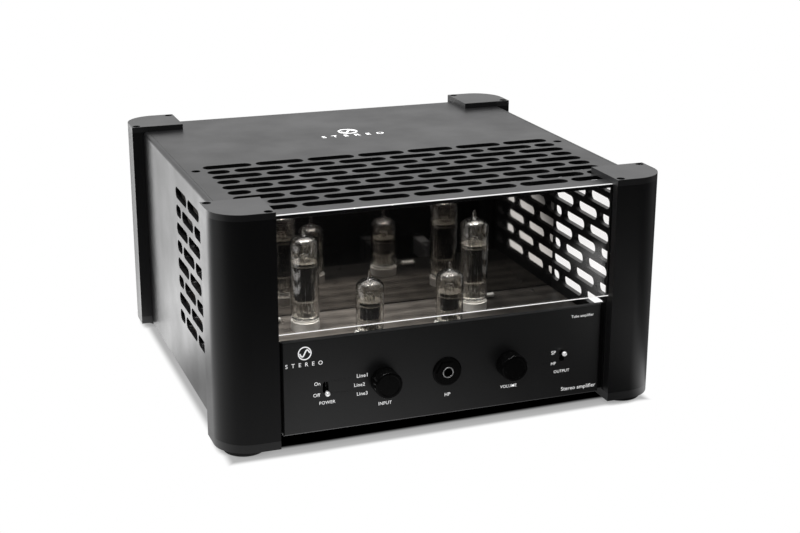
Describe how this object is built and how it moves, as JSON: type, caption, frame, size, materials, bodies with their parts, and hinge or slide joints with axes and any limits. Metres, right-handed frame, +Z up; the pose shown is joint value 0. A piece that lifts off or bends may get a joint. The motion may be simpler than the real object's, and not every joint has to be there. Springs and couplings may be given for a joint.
{
  "type": "tube amplifier",
  "caption": "Low black metal box on rounded corner posts, with vent slots, a window in front of vacuum tubes, turning knobs, flipping toggles and a headphone socket.",
  "frame": {"origin": "on the floor, under the middle of the box, which is also the middle of its bounding box", "axes": "+X to the right seen from the front, -Y towards the front panel, +Z up"},
  "size_m": [0.332, 0.3329, 0.173],
  "materials": {
    "black_anodised": "satin black anodised",
    "black_cap": "satin black anodised",
    "black_steel": "black powder coat",
    "gloss_black": "polished black",
    "window": "polished clear",
    "bulb_glass": "clear blown glass",
    "tube_metal": "dull nickel with clear mica",
    "ceramic": "glazed white ceramic",
    "bright_metal": "polished nickel plate",
    "zinc": "zinc plated",
    "rubber": "moulded matt rubber",
    "core_steel": "varnished laminations",
    "winding": "taped copper winding",
    "board": "black solder mask",
    "capacitor": "printed sleeve",
    "red_plastic": "moulded"
  },
  "bodies": {
    "chassis": {"front_left_post": "black_anodised", "front_right_post": "black_anodised", "rear_left_post": "black_anodised", "rear_right_post": "black_anodised", "front_left_top_cap": "black_cap", "front_right_top_cap": "black_cap", "rear_left_top_cap": "black_cap", "rear_right_top_cap": "black_cap", "bottom_caps": "black_cap", "cap_screws": "black_steel", "feet": "rubber", "foot_screws": "zinc", "top_plate": "black_anodised", "top_plate_screws": "black_steel", "top_rails": "black_steel", "left_side_panel": "black_anodised", "right_side_panel": "black_anodised", "rear_panel": "black_anodised", "bottom_plate": "black_steel", "front_panel": "black_anodised", "front_subpanel": "black_steel", "window_pane": "window", "window_supports": "black_steel", "partition": "gloss_black", "tube_deck": "board", "standoffs": "bright_metal", "tube_sockets": "ceramic", "left_power_tube_glass": "bulb_glass", "right_power_tube_glass": "bulb_glass", "left_preamp_tube_glass": "bulb_glass", "right_preamp_tube_glass": "bulb_glass", "power_tube_electrodes": "tube_metal", "preamp_tube_electrodes": "tube_metal", "input_switch": "zinc", "volume_potentiometer": "zinc", "control_nuts": "bright_metal", "power_toggle_switch": "zinc", "output_toggle_switch": "zinc", "headphone_jack": "bright_metal", "headphone_nut": "gloss_black", "power_transformer_core": "core_steel", "power_transformer_winding": "winding", "output_transformer_cores": "core_steel", "output_transformer_windings": "winding", "power_board": "board", "filter_capacitors": "capacitor", "power_inlet": "gloss_black", "line_input_sockets": "bright_metal", "speaker_terminals": "bright_metal"},
    "input_selector": {"input_knob": "gloss_black", "input_shaft": "bright_metal"},
    "volume_control": {"volume_knob": "gloss_black", "volume_shaft": "bright_metal"},
    "power_lever": {"power_toggle_lever": "bright_metal"},
    "output_lever": {"output_toggle_lever": "bright_metal"},
    "fuse_holder": {"fuse_drawer": "gloss_black"},
    "terminal_nut_1": {"speaker_nut_1": "red_plastic"},
    "terminal_nut_2": {"speaker_nut_2": "gloss_black"},
    "terminal_nut_3": {"speaker_nut_3": "red_plastic"},
    "terminal_nut_4": {"speaker_nut_4": "gloss_black"}
  },
  "joints": [
    {"name": "input_turn", "type": "hinge", "parent": "chassis", "child": "input_selector", "pos_m": [-0.0475, -0.1527, 0.0424], "axis": [0, 1, 0], "range_deg": [-30, 30]},
    {"name": "volume_turn", "type": "hinge", "parent": "chassis", "child": "volume_control", "pos_m": [0.0475, -0.1527, 0.0424], "axis": [0, 1, 0], "range_deg": [-150, 150]},
    {"name": "power_flip", "type": "hinge", "parent": "chassis", "child": "power_lever", "pos_m": [-0.0898, -0.1437, 0.0424], "axis": [1, 0, 0], "range_deg": [-26, 0]},
    {"name": "output_flip", "type": "hinge", "parent": "chassis", "child": "output_lever", "pos_m": [0.0898, -0.1437, 0.0424], "axis": [1, 0, 0], "range_deg": [0, 26]},
    {"name": "fuse_slide", "type": "slide", "parent": "chassis", "child": "fuse_holder", "axis": [0, 1, 0], "range_m": [0, 0.016]},
    {"name": "nut_1_turn", "type": "hinge", "parent": "chassis", "child": "terminal_nut_1", "pos_m": [-0.052, 0.1532, 0.062], "axis": [0, 1, 0], "range_deg": [0, 360]},
    {"name": "nut_2_turn", "type": "hinge", "parent": "chassis", "child": "terminal_nut_2", "pos_m": [-0.03295, 0.1532, 0.062], "axis": [0, 1, 0], "range_deg": [0, 360]},
    {"name": "nut_3_turn", "type": "hinge", "parent": "chassis", "child": "terminal_nut_3", "pos_m": [-0.002, 0.1532, 0.062], "axis": [0, 1, 0], "range_deg": [0, 360]},
    {"name": "nut_4_turn", "type": "hinge", "parent": "chassis", "child": "terminal_nut_4", "pos_m": [0.01705, 0.1532, 0.062], "axis": [0, 1, 0], "range_deg": [0, 360]}
  ]
}
